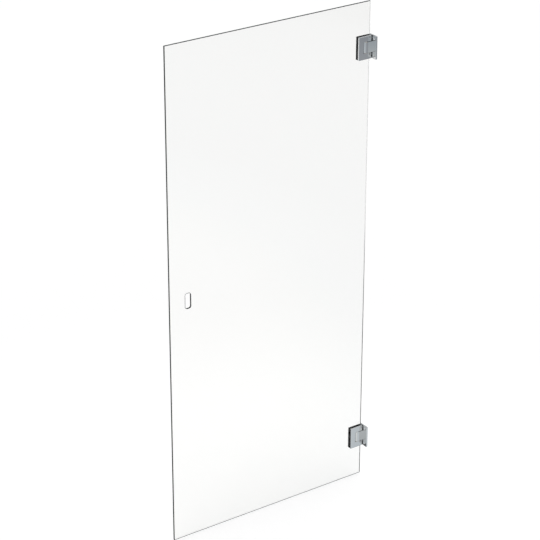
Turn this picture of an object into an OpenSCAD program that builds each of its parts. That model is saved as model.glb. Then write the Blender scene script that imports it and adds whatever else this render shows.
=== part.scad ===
// Frameless shower door: one pane of toughened glass with a cut-out finger pull,
// hung on a wall by two clamp hinges with offset wall plates.
// X = 0 is the wall, the glass reaches out along -X, Y = 0 is the middle of the glass
// with the room at -Y, and Z = 0 is the middle of the lower hinge.

/* [Glass] */
// Width of the pane
glass_w = 894; // [600:1:1000]
// Height of the pane
glass_h = 2000; // [1500:10:2200]
// Thickness of the pane
glass_t = 8; // [6:1:10]
// Arris ground on the pane's outer edges and round the finger pull
arris = 1; // [0.5:0.1:1.5]

/* [Finger pull] */
// Width of the hole
pull_w = 24; // [20:1:50]
// Height of the hole
pull_h = 61; // [50:1:120]
// Radius of the hole's corners
pull_r = 8; // [6:0.5:14]
// From the pane's free edge to the hole
pull_side = 68.5; // [40:0.5:90]
// From the pane's bottom edge to the middle of the hole
pull_height = 1002.5; // [800:0.5:1200]

/* [Hinge position] */
// From the pane's top and bottom edges to the middle of each hinge
hinge_inset = 176; // [120:1:300]
// Gap between the wall plate and the pane's edge
wall_gap = 5; // [4:0.5:8]

/* [Clamp plates] */
// Width of a clamp plate on the glass, from the pane's edge inwards
clamp_w = 55; // [54:1:70]
// Height of the clamp plates and of the wall plate
clamp_h = 90; // [88:1:110]
// Thickness of a clamp plate
clamp_t = 6; // [5:0.5:8]
// Thickness of the gasket under each clamp plate
gasket_t = 1.5; // [1:0.1:2]
// Radius of the plates' corners
corner_r = 2; // [1:0.5:4]
// Bevel round the plates' outer faces
bevel = 0.8; // [0.3:0.1:1]

/* [Wall plate] */
// Thickness of the wall plate
plate_t = 6; // [5:0.5:8]
// How far the plate reaches past the hinge's front face
wing_w = 24; // [20:1:40]
// Diameter of the wall screw holes
wall_hole_d = 5.5; // [4:0.5:6]
// Diameter of the countersinks
wall_sink_d = 11; // [8:0.5:12]
// Height between the upper and the lower wall screws
wall_hole_pitch = 66; // [60:1:72]

/* [Knuckle and pivot] */
// Height of the knuckle
knuckle_h = 42; // [40:1:46]
// From the pane's edge to the pivot axis
pin_inset = 20; // [18:0.5:21]
// Diameter of the pivot pin
pin_d = 12; // [10:0.5:13]
// Length of the pivot pin
pin_l = 60; // [56:1:62]
// Across the pin's opposite flats
pin_flats = 10; // [9:0.25:10.5]
// Outer diameter of the bushes
bush_d = 16; // [15:0.5:17]
// Length of a bush inside the knuckle
bush_l = 6; // [4:0.5:7]
// Diameter of a bush's thrust flange
flange_d = 20; // [18:0.5:22]
// Thickness of a bush's thrust flange
flange_t = 1; // [0.8:0.1:1.5]

/* [Self-centring cams] */
// Diameter of the two spring bores in each knuckle
spring_bore_d = 9; // [8:0.5:9.5]
// Height between the two spring bores
spring_pitch = 15; // [13:0.5:16]
// Length of a follower's barrel
follower_l = 8; // [6:0.5:9]
// Diameter of the follower's spigot inside the spring
spigot_d = 5; // [3:0.5:5]
// Length of the follower's spigot
spigot_l = 3; // [2:0.5:4]
// Diameter of the spring wire
wire_d = 1.3; // [1:0.1:1.4]
// Turns of a spring
spring_turns = 4.5; // [3.5:0.5:4.5]
// Diameter of the grub screw behind each spring
grub_d = 10; // [10:0.5:11]
// Length of the grub screw
grub_l = 6; // [5:0.5:7]
// Across the flats of the grub screw's hexagon socket
grub_key = 5; // [4:0.5:6]
// How deep the grub screw sits below the wall face
grub_recess = 0.5; // [0.3:0.1:1]

/* [Glass cut-out] */
// Depth of the cut-out from the pane's edge
cutout_d = 41; // [40:0.5:42]
// Height of the cut-out
cutout_h = 68; // [66:1:70]
// Radius of the round ears at the cut-out's inner corners
ear_r = 8; // [7:0.5:8.5]
// How far the ears' centres lie inside the cut-out's corners
ear_in = 4; // [3.5:0.5:5]

/* [Clamp screws] */
// Diameter of the clamp screws
screw_d = 6; // [5:0.5:6]
// Length of the clamp screws
screw_l = 20; // [18:0.5:20]
// Diameter of the countersunk heads
head_d = 12; // [10:0.5:12.5]
// Across the flats of the hexagon socket
screw_key = 4; // [3:0.5:4]

/* [Clearances] */
// Radial clearance of the pin in its bushes
running_fit = 0.05; // [0.02:0.01:0.1]
// Radial clearance of the followers in their bores
sliding_fit = 0.05; // [0.02:0.01:0.1]
// Clearance of the pin's ends in the clamp plates, and of screws in tapped holes
seat_fit = 0.05; // [0.02:0.01:0.1]
// Gap above and below the knuckle's thrust flanges
thrust_play = 0.3; // [0.2:0.05:0.5]
// Gap round the knuckle in the clamps' notch
notch_play = 1; // [0.8:0.1:1.5]
// Gap between the clamps' pads and the glass
pad_play = 1; // [0.5:0.1:1.5]
// Gap between the front and the rear pad
pad_split = 0.3; // [0.2:0.1:0.6]
// Gap between the springs and their bores
spring_play = 0.3; // [0.2:0.05:0.4]
// Gap between the clamp plates' corners and the wall plate where they swing closest to it
swing_play = 0.5; // [0.3:0.1:1]

/* [Hidden] */
$fn = 96;

// How far a cutting shape runs past the face it opens
over = 1;

// Places along X, counted from the wall
glass_edge_x = -(plate_t + wall_gap);
pin_x = glass_edge_x - pin_inset;

// Places along Y, counted from the middle of the glass
grip_y = glass_t / 2 + gasket_t;
face_y = grip_y + clamp_t;

// The clamp plates reach past the pane's edge as far as the wall plate lets them swing
swing_r = wall_gap + pin_inset - swing_play;
clamp_reach = sqrt(pow(swing_r, 2) - pow(face_y - bevel, 2)) - pin_inset;
clamp_mid_x = glass_edge_x + (clamp_reach - clamp_w) / 2;

// Places along Z, counted from the middle of a hinge
upper_z = glass_h - 2 * hinge_inset;
glass_bottom_z = -hinge_inset;
notch_h = knuckle_h + 2 * (flange_t + thrust_play);
flange_top_z = knuckle_h / 2 + flange_t;

// The wall plate is as high as the clamp, and the knuckle as thick, so that they lie flush
plate_h = clamp_h;
barrel_r = face_y;

// The chamber between the two bushes, where the followers press on the pin
chamber_h = knuckle_h - 2 * bush_l;
cam_h = chamber_h - 2 * spring_play;

// Followers stand at the pin's full radius here, pressed back, and reach the flats when let go
follower_r = spring_bore_d / 2 - sliding_fit;
follower_nose_x = pin_x + pin_d / 2 + running_fit;
follower_back_x = follower_nose_x + follower_l;
grub_front_x = -(grub_recess + grub_l);
spring_gap = 0.1;
spring_l = grub_front_x - follower_back_x - 2 * spring_gap;

// The ears' centres, where the clamp screws pass
ear_x = glass_edge_x - cutout_d + ear_in;
ear_z = cutout_h / 2 - ear_in;

// A countersunk head is a right-angled cone under a short rim
head_sink = 0.2;
head_rim = 0.3;
head_cone = (head_d - screw_d) / 2;
socket_depth = 2.5;
tapped_floor = 2;

// The two columns of wall screws: one behind the clamps, one in the middle of the wing
wall_hole_y = [0, -(face_y + wing_w / 2)];

// Shapes used by several pieces

module rounded_rectangle(w, h, r) {
    square([w, h - 2 * r], center = true);
    square([w - 2 * r, h], center = true);
    for (x = [-1, 1], y = [-1, 1])
        translate([x * (w / 2 - r), y * (h / 2 - r)])
            circle(r);
}

// Trapezium of base w that leans in by c over the height c
module eased_profile(w, c) {
    polygon([[-w / 2, 0], [w / 2, 0], [w / 2 - c, c], [-w / 2 + c, c]]);
}

// Flat plate with round corners and a bevel round its upper face
module eased_plate(w, h, t, r, c) {
    linear_extrude(t - c)
        rounded_rectangle(w, h, r);
    translate([0, 0, t - c]) {
        rotate([90, 0, 90])
            linear_extrude(w - 2 * r, center = true)
                eased_profile(h, c);
        rotate([90, 0, 0])
            linear_extrude(h - 2 * r, center = true)
                eased_profile(w, c);
        for (x = [-1, 1], y = [-1, 1])
            translate([x * (w / 2 - r), y * (h / 2 - r), 0])
                cylinder(h = c, r1 = r, r2 = r - c);
    }
}

// Round bar with a bevel at both ends
module eased_bar(l, r, c) {
    cylinder(h = l - 2 * c, r = r, center = true);
    for (side = [-1, 1])
        scale([1, 1, side])
            translate([0, 0, l / 2 - c])
                cylinder(h = c, r1 = r, r2 = r - c);
}

// Lays a drawing in the plane of the glass and gives it depth from y0 to y1
module in_glass_plane(y0, y1) {
    translate([0, y1, 0])
        rotate([90, 0, 0])
            linear_extrude(y1 - y0)
                children();
}

// Outline of the hinge cut-out in the glass, drawn in by the given amount
module cutout_outline(inset, mouth) {
    depth = cutout_d - inset;
    half = cutout_h / 2 - inset;
    translate([glass_edge_x - depth, -half])
        square([depth + mouth, 2 * half]);
    for (z = [-1, 1])
        translate([ear_x, z * ear_z])
            circle(ear_r - inset);
}

// Glass

// Cutter for the finger pull: a rounded slot that flares into an arris at both faces
module pull_cutter() {
    r = min(pull_r, pull_w / 2 - 0.5);
    for (side = [-1, 1])
        scale([1, side, 1])
            translate([0, glass_t / 2 - arris, 0])
                rotate([-90, 0, 0]) {
                    for (x = [-1, 1], z = [-1, 1])
                        translate([x * (pull_w / 2 - r), z * (pull_h / 2 - r), 0])
                            cylinder(h = arris + over, r1 = r, r2 = r + arris + over);
                    rotate([90, 0, 90])
                        linear_extrude(pull_w - 2 * r, center = true)
                            flare_profile(pull_h);
                    rotate([90, 0, 0])
                        linear_extrude(pull_h - 2 * r, center = true)
                            flare_profile(pull_w);
                }
    in_glass_plane(-glass_t / 2, glass_t / 2)
        rounded_rectangle(pull_w, pull_h, r);
}

// Trapezium of base w that leans out by the arris and runs past the face
module flare_profile(w) {
    rise = arris + over;
    polygon([[-w / 2, 0], [w / 2, 0], [w / 2 + rise, rise], [-w / 2 - rise, rise]]);
}

// Section across a pane of width w with an arris on both long edges of both faces
module arrised_section(w) {
    half = glass_t / 2;
    polygon([
        [0, -half + arris], [arris, -half], [w - arris, -half], [w, -half + arris],
        [w, half - arris], [w - arris, half], [arris, half], [0, half - arris]
    ]);
}

module pane() {
    intersection() {
        linear_extrude(glass_h)
            arrised_section(glass_w);
        rotate([90, 0, 90])
            linear_extrude(glass_w)
                rotate(90)
                    arrised_section(glass_h);
    }
}

module glass_panel() {
    color([0.86, 0.93, 0.91, 0.35])
        difference() {
            translate([glass_edge_x - glass_w, 0, glass_bottom_z])
                pane();
            for (z = [0, upper_z])
                translate([0, 0, z])
                    in_glass_plane(-glass_t / 2 - over, glass_t / 2 + over)
                        cutout_outline(0, over);
            translate([
                glass_edge_x - glass_w + pull_side + pull_w / 2,
                0,
                glass_bottom_z + pull_height
            ])
                pull_cutter();
        }
}

// Wall side of a hinge

module wall_screw_hole() {
    rotate([0, -90, 0]) {
        translate([0, 0, -over])
            cylinder(h = plate_t + 2 * over, d = wall_hole_d);
        translate([0, 0, plate_t - (wall_sink_d - wall_hole_d) / 2])
            cylinder(h = (wall_sink_d - wall_hole_d) / 2, d1 = wall_hole_d, d2 = wall_sink_d);
        translate([0, 0, plate_t])
            cylinder(h = over, d = wall_sink_d);
    }
}

module knuckle() {
    translate([pin_x, 0, 0])
        eased_bar(knuckle_h, barrel_r, bevel / 2);
    translate([pin_x, 0, 0])
        rotate([90, 0, 90])
            linear_extrude(-plate_t - pin_x)
                square([2 * barrel_r, knuckle_h], center = true);
}

module wall_plate() {
    plate_w = 2 * face_y + wing_w;
    color("silver")
        difference() {
            union() {
                translate([0, face_y - plate_w / 2, 0])
                    rotate([0, -90, 0])
                        eased_plate(plate_h, plate_w, plate_t, corner_r, bevel);
                knuckle();
            }
            translate([pin_x, 0, 0])
                cylinder(h = knuckle_h + 2 * over, d = bush_d, center = true);
            for (z = [-1, 1])
                translate([0, 0, z * spring_pitch / 2])
                    rotate([0, -90, 0]) {
                        cylinder(h = -pin_x, d = spring_bore_d);
                        translate([0, 0, -over])
                            cylinder(h = over - grub_front_x, d = grub_d);
                    }
            for (y = wall_hole_y, z = [-1, 1])
                translate([0, y, z * wall_hole_pitch / 2])
                    wall_screw_hole();
        }
}

// Flanged bush, with its flange upwards
module bush() {
    color("ivory")
        translate([pin_x, 0, 0])
            difference() {
                union() {
                    translate([0, 0, knuckle_h / 2 - bush_l])
                        cylinder(h = bush_l, d = bush_d);
                    translate([0, 0, knuckle_h / 2])
                        cylinder(h = flange_t, d = flange_d);
                }
                cylinder(h = flange_top_z + over, r = pin_d / 2 + running_fit);
            }
}

module at_spring_bores() {
    for (z = [-1, 1])
        translate([0, 0, z * spring_pitch / 2])
            children();
}

// Plungers with a bevelled nose towards the pin and a spigot that centres the spring
module cam_followers() {
    nose_bevel = 1;
    color("ivory")
        at_spring_bores()
            translate([follower_nose_x, 0, 0])
                rotate([0, 90, 0]) {
                    cylinder(h = nose_bevel, r1 = follower_r - nose_bevel, r2 = follower_r);
                    translate([0, 0, nose_bevel])
                        cylinder(h = follower_l - nose_bevel, r = follower_r);
                    translate([0, 0, follower_l])
                        cylinder(h = spigot_l, d = spigot_d);
                }
}

// Helical compression spring swept along its own centre line
coil_sides = 6;
coil_rings_per_turn = 8;
coil_rings = coil_rings_per_turn * spring_turns;
coil_r = spring_bore_d / 2 - spring_play - wire_d / 2;
coil_pitch = (spring_l - wire_d) / spring_turns;

// A point on ring number ring, out from the wire's middle by the given amounts
function coil_spot(ring, outwards, along) =
    let (turn = 360 * ring / coil_rings_per_turn, reach = coil_r + outwards)
    [
        wire_d / 2 + coil_pitch * ring / coil_rings_per_turn + along,
        reach * cos(turn),
        reach * sin(turn)
    ];

function coil_point(ring, side) =
    let (round_wire = 360 * side / coil_sides)
    coil_spot(ring, wire_d / 2 * cos(round_wire), wire_d / 2 * sin(round_wire));

echo(least_gap_between_spring_turns = min([
    for (ring = [0:coil_rings - coil_rings_per_turn])
        norm(coil_spot(ring + coil_rings_per_turn, 0, 0) - coil_spot(ring, 0, 0))
]) - wire_d);

function ring_corner(ring, side) = ring * coil_sides + side % coil_sides;

module cam_spring() {
    points = [
        for (ring = [0:coil_rings], side = [0:coil_sides - 1])
            coil_point(ring, side)
    ];
    skin = [
        for (ring = [0:coil_rings - 1], side = [0:coil_sides - 1], half = [0, 1])
            half == 0
                ? [ring_corner(ring, side), ring_corner(ring, side + 1), ring_corner(ring + 1, side)]
                : [ring_corner(ring, side + 1), ring_corner(ring + 1, side + 1), ring_corner(ring + 1, side)]
    ];
    first_end = [for (side = [coil_sides - 1:-1:0]) ring_corner(0, side)];
    last_end = [for (side = [0:coil_sides - 1]) ring_corner(coil_rings, side)];
    polyhedron(points, concat(skin, [first_end, last_end]));
}

module cam_springs() {
    color("gray")
        at_spring_bores()
            translate([follower_back_x + spring_gap, 0, 0])
                cam_spring();
}

// Headless screws that close the spring bores from the wall face
module grub_screws() {
    grub_r = grub_d / 2 - seat_fit;
    color("dimgray")
        at_spring_bores()
            translate([grub_front_x, 0, 0])
                rotate([0, 90, 0])
                    difference() {
                        translate([0, 0, grub_l / 2])
                            eased_bar(grub_l, grub_r, bevel / 2);
                        translate([0, 0, grub_l / 2])
                            cylinder(h = grub_l, d = grub_key / cos(30), $fn = 6);
                    }
}

// Door side of a hinge

// Section of the pin's ends: a round bar with two flats, grown by the given amount
module pin_end_section(grow) {
    intersection() {
        circle(pin_d / 2 + grow);
        square([pin_d + 2 * over, pin_flats + 2 * grow], center = true);
    }
}

// The pin turns with the glass: round journals, four cam flats between them, flats at its ends
module pivot_pin() {
    color("darkgray")
        translate([pin_x, 0, 0])
            difference() {
                eased_bar(pin_l, pin_d / 2, bevel);
                for (turn = [0:90:270])
                    rotate(turn)
                        translate([pin_flats / 2, -pin_d / 2, -cam_h / 2])
                            cube([pin_d, pin_d, cam_h]);
                for (end = [-1, 1])
                    scale([1, 1, end])
                        translate([0, 0, flange_top_z])
                            linear_extrude(pin_l)
                                difference() {
                                    square(2 * pin_d, center = true);
                                    pin_end_section(0);
                                }
            }
}

module clamp_body() {
    difference() {
        union() {
            translate([clamp_mid_x, -grip_y, 0])
                rotate([90, 0, 0])
                    eased_plate(clamp_w + clamp_reach, clamp_h, clamp_t, corner_r, bevel);
            in_glass_plane(-grip_y, -pad_split / 2)
                cutout_outline(pad_play, clamp_reach);
        }
        clamp_notch();
        translate([pin_x, 0, 0])
            linear_extrude(pin_l + 2 * seat_fit, center = true)
                pin_end_section(seat_fit);
    }
}

// Rectangular notch that the knuckle fills, with a mitred bevel where it opens in the outer face
module clamp_notch() {
    end_x = pin_x - barrel_r - notch_play;
    mouth_x = glass_edge_x + clamp_reach + over;
    floor_y = -face_y + bevel;
    rise = bevel + over;
    in_glass_plane(-face_y - over, over)
        translate([end_x, -notch_h / 2])
            square([mouth_x - end_x, notch_h]);
    intersection() {
        translate([end_x - rise, 0, 0])
            rotate([90, 0, 90])
                linear_extrude(mouth_x - end_x + rise)
                    polygon([
                        [floor_y, -notch_h / 2], [floor_y, notch_h / 2],
                        [floor_y - rise, notch_h / 2 + rise], [floor_y - rise, -notch_h / 2 - rise]
                    ]);
        linear_extrude(notch_h + 2 * rise, center = true)
            polygon([
                [end_x, floor_y], [mouth_x, floor_y],
                [mouth_x, floor_y - rise], [end_x - rise, floor_y - rise]
            ]);
    }
}

module at_clamp_screws() {
    for (z = [-1, 1])
        translate([ear_x, 0, z * ear_z])
            children();
}

module front_clamp() {
    color("silver")
        difference() {
            clamp_body();
            at_clamp_screws()
                rotate([90, 0, 0])
                    cylinder(h = face_y - tapped_floor, d = screw_d);
        }
}

module rear_clamp() {
    hole_d = screw_d + 2 * seat_fit;
    color("silver")
        difference() {
            mirror([0, 1, 0])
                clamp_body();
            at_clamp_screws()
                rotate([-90, 0, 0]) {
                    cylinder(h = face_y, d = hole_d);
                    translate([0, 0, face_y - head_sink - head_rim - head_cone])
                        cylinder(h = head_cone, d1 = hole_d, d2 = head_d + 2 * seat_fit);
                    translate([0, 0, face_y - head_sink - head_rim])
                        cylinder(h = head_sink + head_rim + over, d = head_d + 2 * seat_fit);
                }
        }
}

// Sheet between a clamp plate and the glass, cut back where the pad passes through
module gasket(side) {
    color([0.08, 0.08, 0.08])
        scale([1, side, 1])
            in_glass_plane(glass_t / 2, grip_y)
                difference() {
                    translate([glass_edge_x - clamp_w / 2, 0])
                        rounded_rectangle(clamp_w, clamp_h, corner_r);
                    cutout_outline(0, over);
                }
}

// Countersunk socket screws that pull the two clamp plates together from behind
module clamp_screws() {
    shank_r = screw_d / 2 - seat_fit;
    color("dimgray")
        at_clamp_screws()
            translate([0, face_y - head_sink, 0])
                rotate([90, 0, 0])
                    difference() {
                        union() {
                            cylinder(h = head_rim, d = head_d);
                            translate([0, 0, head_rim])
                                cylinder(h = head_cone, r1 = head_d / 2, r2 = shank_r);
                            cylinder(h = screw_l - bevel, r = shank_r);
                            translate([0, 0, screw_l - bevel])
                                cylinder(h = bevel, r1 = shank_r, r2 = shank_r - bevel);
                        }
                        translate([0, 0, -over])
                            cylinder(h = socket_depth + over, d = screw_key / cos(30), $fn = 6);
                    }
}

module upper() {
    translate([0, 0, upper_z])
        children();
}

module bottom_up() {
    mirror([0, 0, 1])
        children();
}

glass_panel();
wall_plate();  // lower_wall_plate
pivot_pin();  // lower_pivot_pin
bush();  // lower_top_bush
bottom_up() bush();  // lower_bottom_bush
cam_followers();  // lower_cam_followers
cam_springs();  // lower_cam_springs
grub_screws();  // lower_grub_screws
front_clamp();  // lower_front_clamp
rear_clamp();  // lower_rear_clamp
gasket(-1);  // lower_front_gasket
gasket(1);  // lower_rear_gasket
clamp_screws();  // lower_clamp_screws
upper() wall_plate();  // upper_wall_plate
upper() pivot_pin();  // upper_pivot_pin
upper() bush();  // upper_top_bush
upper() bottom_up() bush();  // upper_bottom_bush
upper() cam_followers();  // upper_cam_followers
upper() cam_springs();  // upper_cam_springs
upper() grub_screws();  // upper_grub_screws
upper() front_clamp();  // upper_front_clamp
upper() rear_clamp();  // upper_rear_clamp
upper() gasket(-1);  // upper_front_gasket
upper() gasket(1);  // upper_rear_gasket
upper() clamp_screws();  // upper_clamp_screws
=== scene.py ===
"""Looks of a frameless shower door: one pane of toughened glass on two chrome clamp hinges."""

import math

import bpy
from mathutils import Matrix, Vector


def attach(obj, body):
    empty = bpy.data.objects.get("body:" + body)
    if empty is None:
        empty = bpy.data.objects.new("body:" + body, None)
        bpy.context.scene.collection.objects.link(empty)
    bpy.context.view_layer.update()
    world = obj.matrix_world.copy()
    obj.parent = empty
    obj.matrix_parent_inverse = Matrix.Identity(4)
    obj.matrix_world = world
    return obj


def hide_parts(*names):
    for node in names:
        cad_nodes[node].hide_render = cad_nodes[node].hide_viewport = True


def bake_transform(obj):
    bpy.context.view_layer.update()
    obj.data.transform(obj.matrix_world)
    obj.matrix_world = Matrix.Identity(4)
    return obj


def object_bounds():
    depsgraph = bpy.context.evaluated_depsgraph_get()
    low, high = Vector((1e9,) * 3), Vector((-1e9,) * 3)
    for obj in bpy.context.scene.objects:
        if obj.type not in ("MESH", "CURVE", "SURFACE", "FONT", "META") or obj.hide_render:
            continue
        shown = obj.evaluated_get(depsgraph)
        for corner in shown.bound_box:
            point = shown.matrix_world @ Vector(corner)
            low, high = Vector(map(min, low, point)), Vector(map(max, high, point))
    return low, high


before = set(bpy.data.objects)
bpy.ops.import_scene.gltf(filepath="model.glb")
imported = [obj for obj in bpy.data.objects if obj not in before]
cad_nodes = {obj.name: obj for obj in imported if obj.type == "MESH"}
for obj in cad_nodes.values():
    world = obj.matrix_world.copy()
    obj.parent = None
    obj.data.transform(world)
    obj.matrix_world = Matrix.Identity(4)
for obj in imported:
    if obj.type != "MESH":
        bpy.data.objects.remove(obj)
cad_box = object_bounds()

MM = 0.001

# Camera, worked out from the pane's four corners
CAMERA_PLACE = (-4.5092, -5.7808, 4.1748)
CAMERA_AZIMUTH = 35.034
CAMERA_PITCH = 25.205
CAMERA_ROLL = 0.112
CAMERA_LENS = 138.71
CAMERA_SENSOR = 36.0
CAMERA_NEAREST = 0.1
CAMERA_FARTHEST = 200.0

# The door hangs this far above the floor
FLOOR_GAP = 8 * MM
FLOOR_SIZE = 40.0


def put_camera():
    data = bpy.data.cameras.new("photo_camera")
    data.sensor_width = CAMERA_SENSOR
    data.lens = CAMERA_LENS
    data.clip_start = CAMERA_NEAREST
    data.clip_end = CAMERA_FARTHEST
    camera = bpy.data.objects.new("photo_camera", data)
    turn = Matrix.Rotation(math.radians(-CAMERA_AZIMUTH), 4, "Z")
    tilt = Matrix.Rotation(math.radians(90 - CAMERA_PITCH), 4, "X")
    roll = Matrix.Rotation(math.radians(CAMERA_ROLL), 4, "Z")
    camera.matrix_world = Matrix.Translation(CAMERA_PLACE) @ turn @ tilt @ roll
    bpy.context.scene.collection.objects.link(camera)
    bpy.context.scene.camera = camera


put_camera()


# Helpers for colours and node trees


def srgb(code):
    """A colour written as six hexadecimal digits, as linear red, green, blue and alpha."""
    parts = [int(code[i:i + 2], 16) / 255 for i in (0, 2, 4)]
    linear = [c / 12.92 if c <= 0.04045 else ((c + 0.055) / 1.055) ** 2.4 for c in parts]
    return (*linear, 1.0)


def add_node(tree, kind, inputs=None, **settings):
    """Adds a node. An input is given by name or number, as a value or as the socket to link."""
    made = tree.nodes.new(kind)
    for name, value in settings.items():
        setattr(made, name, value)
    for name, value in (inputs or {}).items():
        if isinstance(value, bpy.types.NodeSocket):
            tree.links.new(value, made.inputs[name])
        else:
            made.inputs[name].default_value = value
    return made


def new_material(name):
    """A material with an empty tree."""
    material = bpy.data.materials.new(name)
    material.use_nodes = True
    material.node_tree.nodes.clear()
    return material, material.node_tree


def end_with(tree, surface):
    add_node(tree, "ShaderNodeOutputMaterial", {"Surface": surface})


def object_place(tree):
    """Object coordinates in metres, which are the part's own."""
    return add_node(tree, "ShaderNodeTexCoord").outputs["Object"]


def mix_colours(tree, share, without, full):
    return add_node(
        tree, "ShaderNodeMix", {"Factor": share, "A": without, "B": full}, data_type="RGBA",
    ).outputs["Result"]


# Materials

# Attribute of the springs: how far along the wire a point is, in metres
ALONG_WIRE = "along_wire"

CLEAR_FACE = "fbfbfa"
EDGE_GREEN = "010402"
ARRIS_GREY = "0c1210"
CHROME = "d5d6d7"
EPDM_BLACK = "0b0b0c"

PIN_STEEL = "b6b7b9"
WIRE_DARK = "55585d"
WIRE_BRIGHT = "83868b"
SCREW_STEEL = "a3a5a8"
ACETAL_IVORY = "ece7d9"
ACETAL_FLOW = "e2dccb"

# How squarely a surface of the pane faces the room, where its edge gives way to the arris (which
# stands at 0.7) and the arris to the face
EDGE_TO_ARRIS = (0.3, 0.5)
ARRIS_TO_FACE = (0.85, 0.95)

# Sizes of the patterns on the real surfaces
ARRIS_GRAIN = 0.3 * MM
BUFFING_WAVE = 6 * MM
RUBBER_GRAIN = 0.4 * MM
GRINDING_LINE = 0.15 * MM
GRINDING_SWEEP = 50 * MM
TEMPER_LENGTH = 7 * MM
WIRE_GRAIN = 0.25 * MM
TURNING_MARK = 0.3 * MM
MOULD_FLOW = 3 * MM
MOULD_GRAIN = 0.2 * MM


def toughened_glass():
    """Clear soda-lime float, cut, edge-polished and toughened. Through the face it is next to
    colourless. Light that comes in at an edge has the whole sheet before it, so from outside the
    polished edges and their arrises look dark bottle green. From inside they are clear, and mirror
    what they face. The ground arris is satin, with the fine uneven grain of the grinding belt."""
    material, tree = new_material("toughened_float_glass")
    coordinates = add_node(tree, "ShaderNodeTexCoord")
    normal = add_node(tree, "ShaderNodeSeparateXYZ", {0: coordinates.outputs["Normal"]})
    facing = add_node(tree, "ShaderNodeMath", {0: normal.outputs["Y"]}, operation="ABSOLUTE")
    on_face = add_node(
        tree, "ShaderNodeMapRange",
        {
            "Value": facing.outputs[0],
            "From Min": ARRIS_TO_FACE[0],
            "From Max": ARRIS_TO_FACE[1],
        },
    )
    off_edge = add_node(
        tree, "ShaderNodeMapRange",
        {
            "Value": facing.outputs[0],
            "From Min": EDGE_TO_ARRIS[0],
            "From Max": EDGE_TO_ARRIS[1],
        },
    )
    on_arris = add_node(
        tree, "ShaderNodeMath",
        {0: off_edge.outputs[0], 1: on_face.outputs[0]}, operation="SUBTRACT",
    )
    edge = mix_colours(tree, off_edge.outputs[0], srgb(EDGE_GREEN), srgb(ARRIS_GREY))
    inside = add_node(tree, "ShaderNodeNewGeometry").outputs["Backfacing"]
    clear = add_node(
        tree, "ShaderNodeMath", {0: on_face.outputs[0], 1: inside}, operation="MAXIMUM",
    )
    colour = mix_colours(tree, clear.outputs[0], edge, srgb(CLEAR_FACE))
    grain = add_node(
        tree, "ShaderNodeTexNoise",
        {"Vector": object_place(tree), "Scale": 1 / ARRIS_GRAIN, "Detail": 2.0},
    )
    ground = add_node(
        tree, "ShaderNodeMapRange",
        {"Value": grain.outputs["Fac"], "To Min": 0.3, "To Max": 0.55},
    )
    roughness = add_node(
        tree, "ShaderNodeMath",
        {0: ground.outputs[0], 1: on_arris.outputs[0]}, operation="MULTIPLY",
    )
    shader = add_node(
        tree, "ShaderNodeBsdfPrincipled",
        {
            "Base Color": colour,
            "Roughness": roughness.outputs[0],
            "IOR": 1.5,
            "Transmission Weight": 1.0,
        },
    )
    end_with(tree, shader.outputs[0])
    return material


def polished_chrome():
    """Bright chromium plated on polished brass: a cool mirror, a shade darker than silver, with the
    last faint waves of the buffing wheel."""
    material, tree = new_material("polished_chrome_plate")
    buffing = add_node(
        tree, "ShaderNodeTexNoise",
        {"Vector": object_place(tree), "Scale": 1 / BUFFING_WAVE, "Detail": 3.0},
    )
    roughness = add_node(
        tree, "ShaderNodeMapRange",
        {"Value": buffing.outputs["Fac"], "To Min": 0.02, "To Max": 0.05},
    )
    shader = add_node(
        tree, "ShaderNodeBsdfPrincipled",
        {
            "Base Color": srgb(CHROME),
            "Metallic": 1.0,
            "Roughness": roughness.outputs[0],
        },
    )
    end_with(tree, shader.outputs[0])
    return material


def gasket_rubber():
    """Black EPDM sheet, calendered and punched: matt and nearly black."""
    material, tree = new_material("black_epdm_sheet")
    grain = add_node(
        tree, "ShaderNodeTexNoise",
        {"Vector": object_place(tree), "Scale": 1 / RUBBER_GRAIN, "Detail": 2.0},
    )
    bump = add_node(
        tree, "ShaderNodeBump",
        {"Height": grain.outputs["Fac"], "Strength": 0.3, "Distance": 0.05 * MM},
    )
    shader = add_node(
        tree, "ShaderNodeBsdfPrincipled",
        {
            "Base Color": srgb(EPDM_BLACK),
            "Roughness": 0.85,
            "Specular IOR Level": 0.2,
            "Normal": bump.outputs[0],
        },
    )
    end_with(tree, shader.outputs[0])
    return material


def ground_pin_steel():
    """Stainless bar ground between centres: bright, with fine lines that run round the pin and
    catch the light as a soft band. The real lines are 0.02 mm apart, too fine to show, so they are
    drawn coarser."""
    material, tree = new_material("centreless_ground_stainless_steel")
    across = 1 / GRINDING_SWEEP
    lines = add_node(
        tree, "ShaderNodeMapping",
        {"Vector": object_place(tree), "Scale": (across, across, 1 / GRINDING_LINE)},
    )
    noise = add_node(
        tree, "ShaderNodeTexNoise", {"Vector": lines.outputs[0], "Scale": 1.0, "Detail": 3.0},
    )
    roughness = add_node(
        tree, "ShaderNodeMapRange",
        {"Value": noise.outputs["Fac"], "To Min": 0.14, "To Max": 0.34},
    )
    bump = add_node(
        tree, "ShaderNodeBump",
        {"Height": noise.outputs["Fac"], "Strength": 0.25, "Distance": 0.01 * MM},
    )
    shader = add_node(
        tree, "ShaderNodeBsdfPrincipled",
        {
            "Base Color": srgb(PIN_STEEL),
            "Metallic": 1.0,
            "Roughness": roughness.outputs[0],
            "Normal": bump.outputs[0],
        },
    )
    end_with(tree, shader.outputs[0])
    return material


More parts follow.
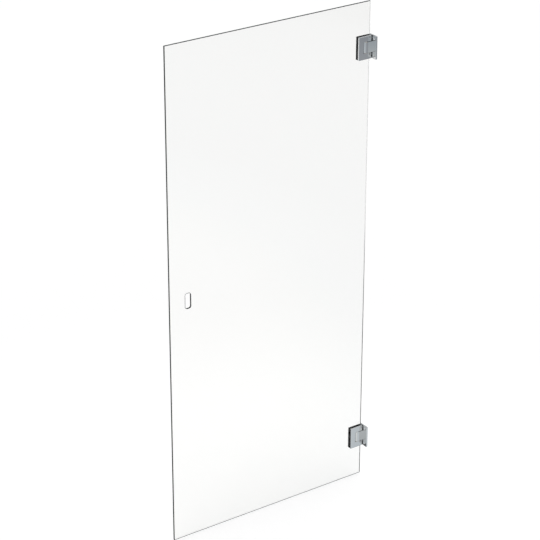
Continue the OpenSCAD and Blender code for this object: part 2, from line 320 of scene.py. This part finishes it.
def drawn_spring_wire():
    """Oil-tempered spring wire: dark grey with a blue cast that comes and goes along the wire, dull
    from the drawing die."""
    material, tree = new_material("oil_tempered_spring_wire")
    along = add_node(tree, "ShaderNodeAttribute", attribute_name=ALONG_WIRE)
    temper = add_node(
        tree, "ShaderNodeTexNoise",
        {"W": along.outputs["Fac"], "Scale": 1 / TEMPER_LENGTH, "Detail": 2.0},
        noise_dimensions="1D",
    )
    colour = mix_colours(tree, temper.outputs["Fac"], srgb(WIRE_DARK), srgb(WIRE_BRIGHT))
    grain = add_node(
        tree, "ShaderNodeTexNoise",
        {"Vector": object_place(tree), "Scale": 1 / WIRE_GRAIN, "Detail": 2.0},
    )
    roughness = add_node(
        tree, "ShaderNodeMapRange",
        {"Value": grain.outputs["Fac"], "To Min": 0.28, "To Max": 0.5},
    )
    shader = add_node(
        tree, "ShaderNodeBsdfPrincipled",
        {"Base Color": colour, "Metallic": 1.0, "Roughness": roughness.outputs[0]},
    )
    end_with(tree, shader.outputs[0])
    return material


def turned_screw_steel():
    """Stainless screws off an automatic lathe: satin, with the fine uneven marks of turning and
    thread rolling, and a little darker than the chrome round them."""
    material, tree = new_material("turned_stainless_steel")
    marks = add_node(
        tree, "ShaderNodeTexNoise",
        {"Vector": object_place(tree), "Scale": 1 / TURNING_MARK, "Detail": 4.0},
    )
    roughness = add_node(
        tree, "ShaderNodeMapRange",
        {"Value": marks.outputs["Fac"], "To Min": 0.2, "To Max": 0.42},
    )
    bump = add_node(
        tree, "ShaderNodeBump",
        {"Height": marks.outputs["Fac"], "Strength": 0.2, "Distance": 0.02 * MM},
    )
    shader = add_node(
        tree, "ShaderNodeBsdfPrincipled",
        {
            "Base Color": srgb(SCREW_STEEL),
            "Metallic": 1.0,
            "Roughness": roughness.outputs[0],
            "Normal": bump.outputs[0],
        },
    )
    end_with(tree, shader.outputs[0])
    return material


def moulded_acetal():
    """Natural acetal, injection moulded: ivory with faint flow clouds, a waxy depth and the fine
    matt grain of a spark-eroded mould."""
    material, tree = new_material("moulded_acetal")
    flow = add_node(
        tree, "ShaderNodeTexNoise",
        {"Vector": object_place(tree), "Scale": 1 / MOULD_FLOW, "Detail": 2.0, "Distortion": 1.5},
    )
    colour = mix_colours(tree, flow.outputs["Fac"], srgb(ACETAL_IVORY), srgb(ACETAL_FLOW))
    grain = add_node(
        tree, "ShaderNodeTexNoise",
        {"Vector": object_place(tree), "Scale": 1 / MOULD_GRAIN, "Detail": 2.0},
    )
    bump = add_node(
        tree, "ShaderNodeBump",
        {"Height": grain.outputs["Fac"], "Strength": 0.3, "Distance": 0.02 * MM},
    )
    shader = add_node(
        tree, "ShaderNodeBsdfPrincipled",
        {
            "Base Color": colour,
            "Roughness": 0.45,
            "Subsurface Weight": 0.2,
            "Subsurface Scale": 1 * MM,
            "Normal": bump.outputs[0],
        },
    )
    end_with(tree, shader.outputs[0])
    return material


glass = toughened_glass()
chrome = polished_chrome()
rubber = gasket_rubber()
pin_steel = ground_pin_steel()
spring_wire = drawn_spring_wire()
screw_steel = turned_screw_steel()
acetal = moulded_acetal()

FINISHES = {
    "glass_panel": glass,
    "wall_plate": chrome,
    "front_clamp": chrome,
    "rear_clamp": chrome,
    "front_gasket": rubber,
    "rear_gasket": rubber,
    "pivot_pin": pin_steel,
    "top_bush": acetal,
    "bottom_bush": acetal,
    "cam_followers": acetal,
    "cam_springs": spring_wire,
    "grub_screws": screw_steel,
    "clamp_screws": screw_steel,
}


def finish_cad_nodes():
    """Gives each CAD node its finish, by its name without the hinge's."""
    for name, piece in cad_nodes.items():
        kind = name.removeprefix("lower_").removeprefix("upper_")
        for slot in piece.material_slots:
            slot.link = "OBJECT"
            slot.material = FINISHES[kind]


finish_cad_nodes()


# Springs and screws, each kind wound or turned by one Geometry Nodes tree

HINGE_HEIGHTS = {"lower": 0.0, "upper": 1648 * MM}
SPRING_BACK = -16.763 * MM
SPRING_LENGTH = 10.076 * MM
SPRING_SPACING = 15 * MM
WIRE_DIAMETER = 1.3 * MM
COIL_RADIUS = 3.55 * MM
COIL_TURNS = 5.0
# The end turns lie against their neighbours and are ground flat on a quarter of the wire
END_TURN_PITCH = 1.33 * MM
GROUND_DEPTH = 0.33 * MM
RINGS_PER_TURN = 32
WIRE_SIDES = 14
# Edges that bend more than this stay sharp
CREASE = math.radians(38)


class GeometryTree:
    """A Geometry Nodes tree whose sizes are named inputs. It ends in real, finished meshes."""

    def __init__(self, name):
        self.group = bpy.data.node_groups.new(name, "GeometryNodeTree")
        self.group.is_modifier = True
        self.entry = self.group.nodes.new("NodeGroupInput")
        self.sizes = {}

    def size(self, name, value, kind="NodeSocketFloat"):
        """Makes a named input with its value, and gives its socket."""
        made = self.group.interface.new_socket(name=name, in_out="INPUT", socket_type=kind)
        self.sizes[made.identifier] = value
        return self.entry.outputs[name]

    def node(self, kind, inputs=None, **settings):
        return add_node(self.group, kind, inputs, **settings)

    def calculate(self, operation, first, second=0.0, third=0.0):
        return self.node(
            "ShaderNodeMath", {0: first, 1: second, 2: third}, operation=operation,
        ).outputs[0]

    def ramp(self, value, start, end, low, high):
        """Goes evenly from low to high while value goes from start to end."""
        return self.node(
            "ShaderNodeMapRange",
            {"Value": value, "From Min": start, "From Max": end, "To Min": low, "To Max": high},
        ).outputs[0]

    def point(self, x=0.0, y=0.0, z=0.0):
        return self.node("ShaderNodeCombineXYZ", {"X": x, "Y": y, "Z": z}).outputs[0]

    def finish(self, geometry, material):
        """Makes the instances real, smooths all but their sharp edges and sets the material."""
        real = self.node("GeometryNodeRealizeInstances", {"Geometry": geometry})
        smooth = self.node(
            "GeometryNodeSetShadeSmooth",
            {"Geometry": real.outputs[0], "Shade Smooth": True},
            domain="FACE",
        )
        bend = self.node("GeometryNodeInputMeshEdgeAngle").outputs["Unsigned Angle"]
        sharp = self.node("FunctionNodeCompare", {0: bend, 1: CREASE}, operation="GREATER_THAN")
        creased = self.node(
            "GeometryNodeSetShadeSmooth",
            {"Geometry": smooth.outputs[0], "Selection": sharp.outputs[0], "Shade Smooth": False},
            domain="EDGE",
        )
        done = self.node(
            "GeometryNodeSetMaterial", {"Geometry": creased.outputs[0], "Material": material},
        )
        self.group.interface.new_socket(
            name="Geometry", in_out="OUTPUT", socket_type="NodeSocketGeometry",
        )
        self.node("NodeGroupOutput", {"Geometry": done.outputs[0]})

    def make(self, name, changes=None):
        """A plain mesh object from the tree, with its place in its mesh. Changes are inputs that
        differ from the tree's own, by identifier."""
        piece = bpy.data.objects.new(name, bpy.data.meshes.new(name))
        bpy.context.scene.collection.objects.link(piece)
        modifier = piece.modifiers.new(name, "NODES")
        modifier.node_group = self.group
        for identifier, value in {**self.sizes, **(changes or {})}.items():
            modifier[identifier] = value
        bpy.context.view_layer.update()
        evaluated = piece.evaluated_get(bpy.context.evaluated_depsgraph_get())
        mesh = bpy.data.meshes.new_from_object(evaluated)
        # Set Material leaves an empty slot before its own
        if mesh.materials[0] is None:
            mesh.materials.pop(index=0)
        piece.modifiers.remove(modifier)
        piece.data = mesh
        return piece


def spring_tree():
    """Two compression springs side by side, wound from one wire each, with closed, ground ends."""
    tree = GeometryTree("coil_springs")
    wire = tree.size("Wire diameter", WIRE_DIAMETER)
    radius = tree.size("Coil radius", COIL_RADIUS)
    turns = tree.size("Turns", COIL_TURNS)
    length = tree.size("Length", SPRING_LENGTH)
    end_pitch = tree.size("End turn pitch", END_TURN_PITCH)
    ground = tree.size("Ground depth", GROUND_DEPTH)
    spacing = tree.size("Spacing", SPRING_SPACING)
    back = tree.size("Back end", SPRING_BACK)
    height = tree.size("Hinge height", 0.0)
    rings = tree.size("Rings", int(RINGS_PER_TURN * COIL_TURNS) + 1, "NodeSocketInt")
    sides = tree.size("Wire sides", WIRE_SIDES, "NodeSocketInt")
    finish = tree.size("Finish", spring_wire, "NodeSocketMaterial")

    straight = tree.node("GeometryNodeCurvePrimitiveLine", {"End": (1.0, 0.0, 0.0)})
    marked = tree.node("GeometryNodeResampleCurve", {"Curve": straight.outputs[0], "Count": rings})
    share = tree.node("GeometryNodeSplineParameter").outputs["Factor"]
    turn = tree.calculate("MULTIPLY", share, turns)
    angle = tree.calculate("MULTIPLY", turn, math.tau)

    half_wire = tree.calculate("MULTIPLY", wire, 0.5)
    start = tree.calculate("SUBTRACT", half_wire, ground)
    both_ends = tree.calculate("MULTIPLY", end_pitch, 2.0)
    open_length = tree.calculate("SUBTRACT", length, both_ends)
    open_length = tree.calculate("SUBTRACT", open_length, tree.calculate("MULTIPLY", start, 2.0))
    last_turn = tree.calculate("SUBTRACT", turns, 1.0)
    first_rise = tree.ramp(turn, 0.0, 1.0, 0.0, end_pitch)
    open_rise = tree.ramp(turn, 1.0, last_turn, 0.0, open_length)
    last_rise = tree.ramp(turn, last_turn, turns, 0.0, end_pitch)
    rise = tree.calculate("ADD", tree.calculate("ADD", first_rise, open_rise), last_rise)
    along = tree.calculate("ADD", start, rise)
    helix = tree.point(
        along,
        tree.calculate("MULTIPLY", radius, tree.calculate("COSINE", angle)),
        tree.calculate("MULTIPLY", radius, tree.calculate("SINE", angle)),
    )
    wire_length = tree.calculate("MULTIPLY", angle, radius)
    named = tree.node(
        "GeometryNodeStoreNamedAttribute",
        {"Geometry": marked.outputs[0], "Name": ALONG_WIRE, "Value": wire_length},
        data_type="FLOAT", domain="POINT",
    )
    wound = tree.node("GeometryNodeSetPosition", {"Geometry": named.outputs[0], "Position": helix})

    section = tree.node(
        "GeometryNodeCurvePrimitiveCircle",
        {"Resolution": sides, "Radius": half_wire},
        mode="RADIUS",
    )
    swept = tree.node(
        "GeometryNodeCurveToMesh",
        {"Curve": wound.outputs[0], "Profile Curve": section.outputs[0], "Fill Caps": True},
    )
    spot = tree.node(
        "ShaderNodeSeparateXYZ", {0: tree.node("GeometryNodeInputPosition").outputs[0]},
    )
    flat = tree.calculate("MINIMUM", tree.calculate("MAXIMUM", spot.outputs["X"], 0.0), length)
    ground_flat = tree.node(
        "GeometryNodeSetPosition",
        {
            "Geometry": swept.outputs[0],
            "Position": tree.point(flat, spot.outputs["Y"], spot.outputs["Z"]),
        },
    )

    low = tree.calculate("SUBTRACT", height, tree.calculate("MULTIPLY", spacing, 0.5))
    bores = tree.node(
        "GeometryNodeMeshLine",
        {"Count": 2, "Start Location": tree.point(x=back, z=low), "Offset": tree.point(z=spacing)},
    )
    pair = tree.node(
        "GeometryNodeInstanceOnPoints",
        {"Points": bores.outputs[0], "Instance": ground_flat.outputs[0]},
    )
    tree.finish(pair.outputs[0], finish)
    return tree


SCREW_SIDES = 36
ROWS_PER_THREAD = 8
# The thread runs out over this share of a turn
THREAD_RUN = 0.8
# A socket is chamfered out to this times its radius, and down to this share of the screw's chamfer
SOCKET_MOUTH = 1.24
SOCKET_LIP = 0.3
SOCKET_FLAT = math.tau / 6
# The first three rows, its floor and its wall, have six sides
SIX_SIDED_ROWS = 2.5
# Points closer than this become one
WELD = 0.002 * MM

CLAMP_SCREW = {
    "place": (-48 * MM, 11.3 * MM),
    "spacing": 60 * MM,
    "length": 20 * MM,
    "head_radius": 6 * MM,
    "rim": 0.3 * MM,
    "shank_radius": 2.95 * MM,
    "socket_radius": 2 * MM,
    "socket_depth": 2.5 * MM,
    "pitch": 1 * MM,
    "thread_depth": 0.55 * MM,
    "chamfer": 0.5 * MM,
}
GRUB_SCREW = {
    "place": (-0.5 * MM, 0.0),
    "spacing": SPRING_SPACING,
    "length": 6 * MM,
    "shank_radius": 4.945 * MM,
    "socket_radius": 2.5 * MM,
    "socket_depth": 3 * MM,
    "pitch": 1.5 * MM,
    "thread_depth": 0.8 * MM,
    "chamfer": 0.6 * MM,
}


def through_stations(tree, row, values):
    """Goes evenly from one value to the next while row goes from one station to the next."""
    total = values[0][1]
    for (start, low), (end, high) in zip(values, values[1:]):
        change = tree.calculate("SUBTRACT", high, low)
        total = tree.calculate("ADD", total, tree.ramp(row, start, end, 0.0, change))
    return total


def screw_tree(name, kind, turn):
    """Two socket screws, each turned as one surface from the socket's floor over the head and down
    the shank, with the thread cut in as a helix."""
    tree = GeometryTree(name)
    length = tree.size("Length", kind["length"])
    shank = tree.size("Shank radius", kind["shank_radius"])
    key = tree.size("Socket radius", kind["socket_radius"])
    deep = tree.size("Socket depth", kind["socket_depth"])
    pitch = tree.size("Thread pitch", kind["pitch"])
    cut = tree.size("Thread depth", kind["thread_depth"])
    chamfer = tree.size("Chamfer", kind["chamfer"])
    spacing = tree.size("Spacing", kind["spacing"])
    height = tree.size("Hinge height", 0.0)
    sides = tree.size("Sides", SCREW_SIDES + 1, "NodeSocketInt")
    finish = tree.size("Finish", screw_steel, "NodeSocketMaterial")

    mouth = tree.calculate("MULTIPLY", key, SOCKET_MOUTH)
    lip = tree.calculate("MULTIPLY", chamfer, SOCKET_LIP)
    # Radius and depth wherever the profile turns a corner
    stations = [(0.0, deep), (key, deep), (key, lip), (mouth, 0.0)]
    if "head_radius" in kind:
        head = tree.size("Head radius", kind["head_radius"])
        rim = tree.size("Rim", kind["rim"])
        brow = tree.calculate("SUBTRACT", head, lip)
        cone = tree.calculate("SUBTRACT", tree.calculate("ADD", head, rim), shank)
        neck = tree.calculate("ADD", cone, chamfer)
        stations += [(brow, 0.0), (head, lip), (head, rim), (shank, cone), (shank, neck)]
    else:
        stations += [(tree.calculate("SUBTRACT", shank, chamfer), 0.0), (shank, chamfer)]
    first_thread = len(stations) - 1
    last_thread = first_thread + int(ROWS_PER_THREAD * kind["length"] / kind["pitch"])
    tip = tree.calculate("SUBTRACT", shank, chamfer)
    shank_end = tree.calculate("SUBTRACT", length, chamfer)
    rows = list(range(len(stations))) + [last_thread, last_thread + 1, last_thread + 2]
    stations += [(shank, shank_end), (tip, length), (0.0, length)]

    sheet = tree.node(
        "GeometryNodeMeshGrid",
        {"Size X": 1.0, "Size Y": 1.0, "Vertices X": last_thread + 3, "Vertices Y": sides},
    )
    spot = tree.node(
        "ShaderNodeSeparateXYZ", {0: tree.node("GeometryNodeInputPosition").outputs[0]},
    )
    row = tree.ramp(spot.outputs["X"], -0.5, 0.5, 0.0, float(last_thread + 2))
    round_share = tree.calculate("ADD", spot.outputs["Y"], 0.5)
    angle = tree.calculate("MULTIPLY", round_share, math.tau)
    radius = through_stations(tree, row, [(at, station[0]) for at, station in zip(rows, stations)])
    depth = through_stations(tree, row, [(at, station[1]) for at, station in zip(rows, stations)])

    # The socket has six flats
    in_flat = tree.calculate("FLOORED_MODULO", angle, SOCKET_FLAT)
    from_middle = tree.calculate("SUBTRACT", in_flat, SOCKET_FLAT / 2)
    to_corner = tree.calculate("DIVIDE", 1.0, tree.calculate("COSINE", from_middle))
    in_socket = tree.calculate("LESS_THAN", row, SIX_SIDED_ROWS)
    six_sided = tree.calculate(
        "MULTIPLY_ADD", tree.calculate("SUBTRACT", to_corner, 1.0), in_socket, 1.0,
    )

    # The thread runs out at both ends
    phase = tree.calculate("SUBTRACT", tree.calculate("DIVIDE", depth, pitch), round_share)
    groove = tree.calculate("PINGPONG", phase, 0.5)
    groove = tree.calculate("MULTIPLY", groove, 2.0)
    run = THREAD_RUN * ROWS_PER_THREAD
    run_in = tree.ramp(row, float(first_thread), first_thread + run, 0.0, 1.0)
    run_out = tree.ramp(row, last_thread - run, float(last_thread), 1.0, 0.0)
    cutting = tree.calculate("MULTIPLY", tree.calculate("MULTIPLY", run_in, run_out), cut)
    turned = tree.calculate(
        "SUBTRACT",
        tree.calculate("MULTIPLY", radius, six_sided),
        tree.calculate("MULTIPLY", groove, cutting),
    )
    shaped = tree.node(
        "GeometryNodeSetPosition",
        {
            "Geometry": sheet.outputs["Mesh"],
            "Position": tree.point(
                tree.calculate("MULTIPLY", turned, tree.calculate("COSINE", angle)),
                tree.calculate("MULTIPLY", turned, tree.calculate("SINE", angle)),
                tree.calculate("MULTIPLY", depth, -1.0),
            ),
        },
    )
    closed = tree.node(
        "GeometryNodeMergeByDistance", {"Geometry": shaped.outputs[0], "Distance": WELD},
    )

    low = tree.calculate("SUBTRACT", height, tree.calculate("MULTIPLY", spacing, 0.5))
    x, y = kind["place"]
    places = tree.node(
        "GeometryNodeMeshLine",
        {"Count": 2, "Start Location": tree.point(x, y, low), "Offset": tree.point(z=spacing)},
    )
    pair = tree.node(
        "GeometryNodeInstanceOnPoints",
        {"Points": places.outputs[0], "Instance": closed.outputs[0], "Rotation": turn},
    )
    tree.finish(pair.outputs[0], finish)
    return tree


def make_pairs(tree, name, node):
    """The tree's pair in the lower and in the upper hinge, each in place of its CAD node."""
    inputs = {item.name: item.identifier for item in tree.group.interface.items_tree}
    pairs = {}
    for hinge, level in HINGE_HEIGHTS.items():
        pair = tree.make(hinge + name, {inputs["Hinge height"]: level})
        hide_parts(hinge + node)
        pairs[hinge] = pair
    return pairs


def fit_springs_and_screws():
    springs = make_pairs(spring_tree(), "_wound_springs", "_cam_springs")
    for hinge, pair in springs.items():
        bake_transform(pair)
    to_wall = (0.0, math.radians(90), 0.0)
    grub_tree = screw_tree("turned_grub_screws", GRUB_SCREW, to_wall)
    grubs = make_pairs(grub_tree, "_turned_grubs", "_grub_screws")
    for pair in grubs.values():
        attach(pair, "wall")
    to_rear = (math.radians(-90), 0.0, 0.0)
    clamp_tree = screw_tree("turned_clamp_screws", CLAMP_SCREW, to_rear)
    clamping = make_pairs(clamp_tree, "_turned_clamp_screws", "_clamp_screws")
    for pair in clamping.values():
        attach(pair, "door")


fit_springs_and_screws()


# Studio: a white floor and a white surround, which mirrors see as a room lit from the left

# What mirrors see of the floor, by the distance in metres from the middle of the light on it
LIGHT_POOL = (-1.6, -2.2)
POOL_TONES = [
    (1.5, "ffffff"), (2.2, "fbfdfd"), (2.45, "e8ecec"), (2.65, "d4dce1"), (3.2, "b9bfc4"),
    (4.7, "b0b4b8"), (5.2, "a5a9ae"), (5.45, "9ea2a7"), (5.75, "6a6c6e"), (6.3, "404243"),
    (9.0, "8e9194"),
]
# What they see of it behind the door, by the distance in metres behind the glass: painted shade,
# darkest just behind the door
BEHIND_SHADE_TONES = [(0.1, "84878a"), (0.9, "b4b7ba"), (2.5, "dcdedf"), (6.0, "b8bbbe"), (9.0, "8e9194")]
# And what is seen of it out through the pane's edges, by the same distance: painted shade, near
# black within 1.3 metres of the door
EDGE_SHADE_TONES = [
    (0.1, "1c1c1d"), (1.3, "1c1c1d"), (1.45, "303132"), (1.65, "5c5d5e"), (1.85, "b0b1b2"),
    (2.0, "ffffff"),
]
# What they see of the room, by the sine of the height above the horizon
ROOM_TONES = [(0.05, "8e9194"), (0.3, "b4b7ba"), (0.5, "c8cbcd"), (0.8, "ffffff")]
# A mirror that stands behind the glass sees mostly the unlit side of things
BEHIND_GLASS = "0c0c0d"

# In metres on both sides of the door: the floor in front of it shades over into the floor behind
UNDER_DOOR = 0.02

DAYLIGHT = 0.8
WHITE = "ffffff"
FLOOR_PAINT = "eeeeee"
# Seen directly the floor is white, with a painted pool of light that glows whitest by the door, and
# keeps its shadow only faintly
WHITE_FLOOR_PAINT = "b8b8b8"
WHITE_FLOOR_LIFT = 0.625
DOOR_POOL_GLOW = 0.70
DOOR_POOL_MIDDLE = (-0.45, 0.0)
# The distances in metres from there between which the painted pool of light fades
DOOR_POOL_WITHIN = 0.5
DOOR_POOL_REACH = 2.0


def ways_here(tree):
    """How a ray came here, as sockets that are 0 or 1. Direct comes from the camera, straight or
    through glass. Turned was mirrored on its way, sharply or softly. Leaving came out of glass
    last. Veiled had come through glass and was mirrored after that."""
    path = add_node(tree, "ShaderNodeLightPath")
    direct = add_node(
        tree, "ShaderNodeMath",
        {0: path.outputs["Is Camera Ray"], 1: path.outputs["Is Transmission Ray"]},
        operation="MAXIMUM",
    )
    sharply = add_node(
        tree, "ShaderNodeMath", {0: path.outputs["Glossy Depth"], 1: 1.0}, operation="MINIMUM",
    )
    softly = add_node(
        tree, "ShaderNodeMath",
        {0: path.outputs["Is Glossy Ray"], 1: path.outputs["Is Singular Ray"]},
        operation="SUBTRACT",
    )
    either = add_node(
        tree, "ShaderNodeMath", {0: sharply.outputs[0], 1: softly.outputs[0]}, operation="MAXIMUM",
    )
    turned = add_node(
        tree, "ShaderNodeMath", {0: either.outputs[0], 1: path.outputs["Is Diffuse Ray"]},
        operation="SUBTRACT", use_clamp=True,
    )
    came_through = add_node(
        tree, "ShaderNodeMath",
        {0: path.outputs["Transmission Depth"], 1: 1.0},
        operation="MINIMUM",
    )
    veiled = add_node(
        tree, "ShaderNodeMath",
        {0: came_through.outputs[0], 1: path.outputs["Is Transmission Ray"]},
        operation="SUBTRACT", use_clamp=True,
    )
    return {
        "direct": direct.outputs[0],
        "turned": turned.outputs[0],
        "leaving": path.outputs["Is Transmission Ray"],
        "veiled": veiled.outputs[0],
    }


def tones_by(tree, value, tones):
    """Colour along a list of values and hexadecimal colours."""
    reach = tones[-1][0]
    share = add_node(tree, "ShaderNodeMath", {0: value, 1: reach}, operation="DIVIDE")
    ramp = add_node(tree, "ShaderNodeValToRGB", {"Fac": share.outputs[0]})
    elements = ramp.color_ramp.elements
    while len(elements) < len(tones):
        elements.new(1.0)
    for element, (at, code) in zip(elements, tones):
        element.position = at / reach
        element.color = srgb(code)
    return ramp.outputs["Color"]


def by_way(tree, ways, lighting, straight, mirrored):
    """Gives light, the camera and mirrors each their own shader."""
    plain = add_node(tree, "ShaderNodeMixShader", {0: ways["direct"], 1: lighting, 2: straight})
    return add_node(
        tree, "ShaderNodeMixShader", {0: ways["turned"], 1: plain.outputs[0], 2: mirrored},
    ).outputs[0]


def light_world():
    world = bpy.data.worlds.new("studio")
    world.use_nodes = True
    tree = world.node_tree
    tree.nodes.clear()
    place = add_node(tree, "ShaderNodeTexCoord")
    height = add_node(tree, "ShaderNodeSeparateXYZ", {0: place.outputs["Generated"]})
    ways = ways_here(tree)
    tone = mix_colours(
        tree, ways["veiled"], tones_by(tree, height.outputs["Z"], ROOM_TONES), srgb(BEHIND_GLASS),
    )
    lighting = add_node(tree, "ShaderNodeBackground", {"Color": srgb(WHITE), "Strength": DAYLIGHT})
    white = add_node(tree, "ShaderNodeBackground", {"Color": srgb(WHITE), "Strength": 1.0})
    room = add_node(tree, "ShaderNodeBackground", {"Color": tone, "Strength": 1.0})
    surface = by_way(tree, ways, lighting.outputs[0], white.outputs[0], room.outputs[0])
    add_node(tree, "ShaderNodeOutputWorld", {"Surface": surface})
    bpy.context.scene.world = world


def distance_from(tree, place, spot):
    return add_node(
        tree, "ShaderNodeVectorMath", {0: place, 1: spot}, operation="DISTANCE",
    ).outputs["Value"]


def lay_floor():
    level = cad_box[0].z - FLOOR_GAP
    half = FLOOR_SIZE / 2
    mesh = bpy.data.meshes.new("floor")
    mesh.from_pydata(
        [(-half, -half, level), (half, -half, level), (half, half, level), (-half, half, level)],
        [], [(0, 1, 2, 3)],
    )
    floor = bpy.data.objects.new("floor", mesh)
    bpy.context.scene.collection.objects.link(floor)
    material, tree = new_material("pale_floor")
    place = object_place(tree)
    split = add_node(tree, "ShaderNodeSeparateXYZ", {0: place})
    behind = add_node(
        tree, "ShaderNodeMapRange",
        {"Value": split.outputs["Y"], "From Min": -UNDER_DOOR, "From Max": UNDER_DOOR},
    )
    ways = ways_here(tree)
    # Mirrors see painted tones on the floor: a pool of light in front of the door, and painted
    # shade behind it and out through the pane's edges
    painted_back_shade_tone = mix_colours(
        tree, ways["leaving"],
        tones_by(tree, split.outputs["Y"], BEHIND_SHADE_TONES),
        tones_by(tree, split.outputs["Y"], EDGE_SHADE_TONES),
    )
    painted_light_pool_tone = tones_by(tree, distance_from(tree, place, (*LIGHT_POOL, level)), POOL_TONES)
    open_tone = mix_colours(tree, behind.outputs[0], painted_light_pool_tone, painted_back_shade_tone)
    tone = mix_colours(tree, ways["veiled"], open_tone, srgb(BEHIND_GLASS))
    paint = add_node(tree, "ShaderNodeBsdfDiffuse", {"Color": srgb(FLOOR_PAINT)})
    white = add_node(tree, "ShaderNodeBsdfDiffuse", {"Color": srgb(WHITE_FLOOR_PAINT)})
    # Painted pool of light: the floor glows more by the door's foot
    painted_pool_glow = add_node(
        tree, "ShaderNodeMapRange",
        {
            "Value": distance_from(tree, place, (*DOOR_POOL_MIDDLE, level)),
            "From Min": DOOR_POOL_WITHIN,
            "From Max": DOOR_POOL_REACH,
            "To Min": DOOR_POOL_GLOW,
            "To Max": WHITE_FLOOR_LIFT,
        },
        interpolation_type="SMOOTHSTEP",
    )
    lift = add_node(
        tree, "ShaderNodeEmission", {"Color": srgb(WHITE), "Strength": painted_pool_glow.outputs[0]},
    )
    lifted = add_node(tree, "ShaderNodeAddShader", {0: white.outputs[0], 1: lift.outputs[0]})
    mirrored = add_node(tree, "ShaderNodeEmission", {"Color": tone, "Strength": 1.0})
    end_with(tree, by_way(tree, ways, paint.outputs[0], lifted.outputs[0], mirrored.outputs[0]))
    mesh.materials.append(material)


light_world()
lay_floor()

bpy.context.scene.view_settings.view_transform = "Standard"
